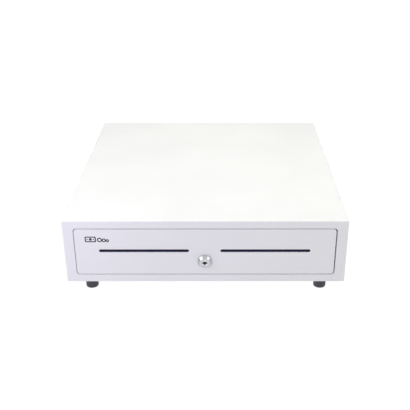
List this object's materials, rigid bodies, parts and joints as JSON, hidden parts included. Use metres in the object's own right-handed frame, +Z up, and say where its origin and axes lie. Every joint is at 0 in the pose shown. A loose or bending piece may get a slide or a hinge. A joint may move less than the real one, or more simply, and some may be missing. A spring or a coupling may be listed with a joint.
{
  "type": "cash drawer",
  "caption": "White sheet-metal cash drawer on rubber feet, with an inset front, two document slots, a key lock and a bill and coin tray on a roller drawer behind it.",
  "frame": {"origin": "on the surface the feet stand on, under the middle of the whole object", "axes": "+Z up, +X to the right seen from the front, front faces -Y"},
  "size_m": [0.41, 0.4256, 0.114],
  "materials": {
    "powder_coat": "white powder coat, fine texture, satin",
    "zinc_plate": "bright zinc plate",
    "spring_steel": "plain spring steel",
    "lock_chrome": "polished chrome plate",
    "lock_brass": "plain machined brass",
    "foot_rubber": "moulded black rubber",
    "black_plastic": "black moulded plastic",
    "roller_plastic": "off-white acetal",
    "coil_tape": "amber winding tape"
  },
  "bodies": {
    "cabinet": {"base_plate": "powder_coat", "case_rail_left": "zinc_plate", "case_rail_right": "zinc_plate", "case_shell": "powder_coat", "eject_spring_left": "spring_steel", "eject_spring_right": "spring_steel", "foot_front_left": "foot_rubber", "foot_front_right": "foot_rubber", "foot_rear_left": "foot_rubber", "foot_rear_right": "foot_rubber", "foot_screw_front_left": "zinc_plate", "foot_screw_front_right": "zinc_plate", "foot_screw_rear_left": "zinc_plate", "foot_screw_rear_right": "zinc_plate", "front_axle_left": "zinc_plate", "front_axle_right": "zinc_plate", "harness": "black_plastic", "inlet_jack": "black_plastic", "latch_pivot": "zinc_plate", "latch_spring": "spring_steel", "mech_bracket": "zinc_plate", "micro_switch": "black_plastic", "panel_screw_lower_left": "zinc_plate", "panel_screw_lower_right": "zinc_plate", "panel_screw_upper_left": "zinc_plate", "panel_screw_upper_right": "zinc_plate", "rear_panel": "powder_coat", "solenoid_coil": "coil_tape", "solenoid_frame": "zinc_plate", "spring_post_left": "zinc_plate", "spring_post_right": "zinc_plate"},
    "front_roller_left": {"front_roller_left": "roller_plastic"},
    "front_roller_right": {"front_roller_right": "roller_plastic"},
    "rear_roller_left": {"rear_roller_left": "roller_plastic"},
    "rear_roller_right": {"rear_roller_right": "roller_plastic"},
    "drawer": {"drawer_box": "powder_coat", "drawer_front": "powder_coat", "drawer_rail_left": "zinc_plate", "drawer_rail_right": "zinc_plate", "rear_axle_left": "zinc_plate", "rear_axle_right": "zinc_plate", "striker": "zinc_plate", "lock_body": "lock_chrome", "lock_nut": "lock_brass", "cash_tray": "black_plastic", "coin_tray": "black_plastic", "bill_divider_1": "black_plastic", "bill_divider_2": "black_plastic", "bill_divider_3": "black_plastic", "clip_rod": "zinc_plate"},
    "lock_cylinder": {"lock_plug": "lock_chrome", "release_rod": "zinc_plate"},
    "latch": {"latch_lever": "zinc_plate"},
    "solenoid_plunger": {"plunger": "zinc_plate"},
    "switch_lever": {"switch_arm": "spring_steel"},
    "clip_1": {"bill_clip_1": "black_plastic"},
    "clip_2": {"bill_clip_2": "black_plastic"},
    "clip_3": {"bill_clip_3": "black_plastic"},
    "clip_4": {"bill_clip_4": "black_plastic"}
  },
  "joints": [
    {"name": "drawer_slide", "type": "slide", "parent": "cabinet", "child": "drawer", "axis": [0, -1, 0], "range_m": [0, 0.315]},
    {"name": "front_roller_left_turn", "type": "hinge", "parent": "cabinet", "child": "front_roller_left", "pos_m": [-0.185, -0.184, 0.062], "axis": [1, 0, 0], "continuous": true},
    {"name": "rear_roller_left_turn", "type": "hinge", "parent": "drawer", "child": "rear_roller_left", "pos_m": [-0.1955, 0.15, 0.06], "axis": [1, 0, 0], "continuous": true},
    {"name": "front_roller_right_turn", "type": "hinge", "parent": "cabinet", "child": "front_roller_right", "pos_m": [0.185, -0.184, 0.062], "axis": [1, 0, 0], "continuous": true},
    {"name": "rear_roller_right_turn", "type": "hinge", "parent": "drawer", "child": "rear_roller_right", "pos_m": [0.1955, 0.15, 0.06], "axis": [1, 0, 0], "continuous": true},
    {"name": "lock_turn", "type": "hinge", "parent": "drawer", "child": "lock_cylinder", "pos_m": [-0.001, -0.20725, 0.048], "axis": [0, 1, 0], "range_deg": [0, 90]},
    {"name": "latch_swing", "type": "hinge", "parent": "cabinet", "child": "latch", "pos_m": [0.014, 0.19, 0.066], "axis": [0, 0, -1], "range_deg": [0, 18], "deforming": ["latch_spring"]},
    {"name": "plunger_slide", "type": "slide", "parent": "cabinet", "child": "solenoid_plunger", "axis": [-1, 0, 0], "range_m": [0, 0.0045]},
    {"name": "switch_lever_swing", "type": "hinge", "parent": "cabinet", "child": "switch_lever", "pos_m": [0.002, 0.2015, 0.066], "axis": [0, 0, -1], "range_deg": [0, 10]},
    {"name": "clip_1_lift", "type": "hinge", "parent": "drawer", "child": "clip_1", "pos_m": [-0.13162, 0.144, 0.091], "axis": [-1, 0, 0], "range_deg": [0, 22], "stiffness_Nm_per_rad": 0.02, "springref_deg": -28.65},
    {"name": "clip_2_lift", "type": "hinge", "parent": "drawer", "child": "clip_2", "pos_m": [-0.04387, 0.144, 0.091], "axis": [-1, 0, 0], "range_deg": [0, 22], "stiffness_Nm_per_rad": 0.02, "springref_deg": -28.65},
    {"name": "clip_3_lift", "type": "hinge", "parent": "drawer", "child": "clip_3", "pos_m": [0.04387, 0.144, 0.091], "axis": [-1, 0, 0], "range_deg": [0, 22], "stiffness_Nm_per_rad": 0.02, "springref_deg": -28.65},
    {"name": "clip_4_lift", "type": "hinge", "parent": "drawer", "child": "clip_4", "pos_m": [0.13162, 0.144, 0.091], "axis": [-1, 0, 0], "range_deg": [0, 22], "stiffness_Nm_per_rad": 0.02, "springref_deg": -28.65}
  ],
  "couplings": [
    {"joint": "front_roller_left_turn", "follows": "drawer_slide", "rad_per_m": 117.65},
    {"joint": "front_roller_right_turn", "follows": "drawer_slide", "rad_per_m": 117.65},
    {"joint": "rear_roller_left_turn", "follows": "drawer_slide", "rad_per_m": 117.65},
    {"joint": "rear_roller_right_turn", "follows": "drawer_slide", "rad_per_m": 117.65},
    {"joint": "plunger_slide", "follows": "latch_swing", "m_per_rad": 0.014},
    {"joint": "switch_lever_swing", "follows": "latch_swing", "ratio": 0.55}
  ]
}
